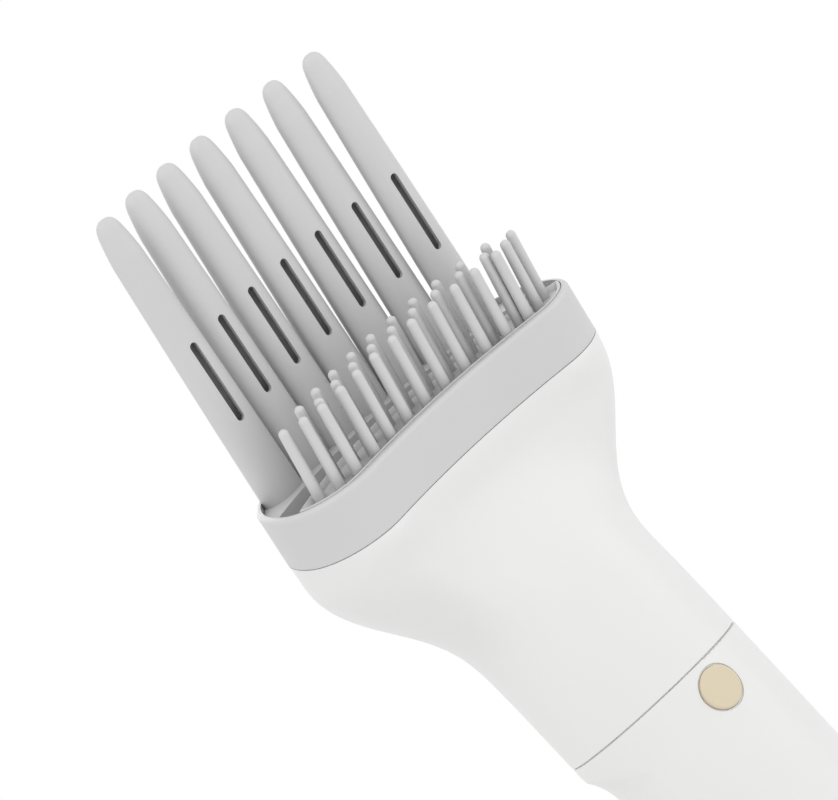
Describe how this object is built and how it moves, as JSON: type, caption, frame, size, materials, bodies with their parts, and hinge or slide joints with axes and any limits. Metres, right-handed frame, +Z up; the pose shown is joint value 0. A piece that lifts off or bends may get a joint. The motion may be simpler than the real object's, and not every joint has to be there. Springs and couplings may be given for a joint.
{
  "type": "hot air styler",
  "caption": "Hot air hair styler: round handle with fan, heater, slide switch and latch button, and a pull-off bean-mouthed nozzle with hollow tines and a pad of short pins.",
  "frame": {"origin": "centre of the tail, where the handle's axis meets the flat that it stands on", "axes": "+Z up along the handle's axis, from the tail to the tines; the front, with the button and the pins, faces -Y; +X to the right when seen from the front"},
  "size_m": [0.092, 0.0571, 0.347],
  "materials": {
    "white_shell": "satin",
    "grey_trim": "satin",
    "beige_button": "satin",
    "dark_inner": "matte",
    "nylon_white": "matte",
    "board_green": "matte",
    "steel": "satin",
    "bronze": "satin",
    "aluminium": "satin",
    "card_mica": "matte",
    "seal_rubber": "matte",
    "lead_rubber": "matte"
  },
  "bodies": {
    "handle": {"handle_barrel": "white_shell", "outlet_spigot": "dark_inner", "outlet_grille": "steel", "latch_arm": "nylon_white", "slide_switch": "dark_inner", "control_board": "board_green", "heater_liner": "card_mica", "heater_cards": "card_mica", "heater_coils": "steel", "thermal_cutout": "steel", "motor_housing": "dark_inner", "motor_can": "aluminium", "motor_stator": "steel", "shaft_bearings": "bronze", "tail_cap": "grey_trim", "cap_screws": "steel", "intake_cage": "dark_inner", "cage_screws": "steel", "contact_carrier": "nylon_white", "supply_leads": "lead_rubber"},
    "comb_head": {"nozzle_shell": "white_shell", "coupling_sleeve": "dark_inner", "outlet_seal": "seal_rubber", "air_guide": "dark_inner", "head_collar": "grey_trim", "pin_pad": "grey_trim", "tine_comb": "grey_trim", "head_screws": "steel"},
    "latch_button": {"release_button": "beige_button"},
    "power_switch": {"power_slider": "grey_trim", "slider_carrier": "dark_inner"},
    "fan_rotor": {"impeller": "nylon_white", "motor_shaft": "steel", "rotor_magnet": "dark_inner"},
    "intake_filter": {"filter_cover": "grey_trim", "filter_mesh": "steel"},
    "cord_swivel": {"cord_gland": "dark_inner"}
  },
  "joints": [
    {"name": "head_pull", "type": "slide", "parent": "handle", "child": "comb_head", "axis": [0, 0, 1], "range_m": [0, 0.04], "deforming": ["latch_arm"]},
    {"name": "release_press", "type": "slide", "parent": "handle", "child": "latch_button", "axis": [0, 1, 0], "range_m": [0, 0.002], "stiffness_N_per_m": 800, "springref_m": -0.001, "deforming": ["latch_arm"]},
    {"name": "power_slide", "type": "slide", "parent": "handle", "child": "power_switch", "axis": [0, 0, 1], "range_m": [0, 0.012]},
    {"name": "fan_spin", "type": "hinge", "parent": "handle", "child": "fan_rotor", "pos_m": [0, 0, 0.068], "axis": [0, 0, 1], "continuous": true},
    {"name": "filter_twist", "type": "hinge", "parent": "handle", "child": "intake_filter", "pos_m": [0, 0, 0.026], "axis": [0, 0, 1], "range_deg": [0, 25]},
    {"name": "swivel_turn", "type": "hinge", "parent": "handle", "child": "cord_swivel", "pos_m": [0, 0, 0.007], "axis": [0, 0, 1], "continuous": true}
  ]
}
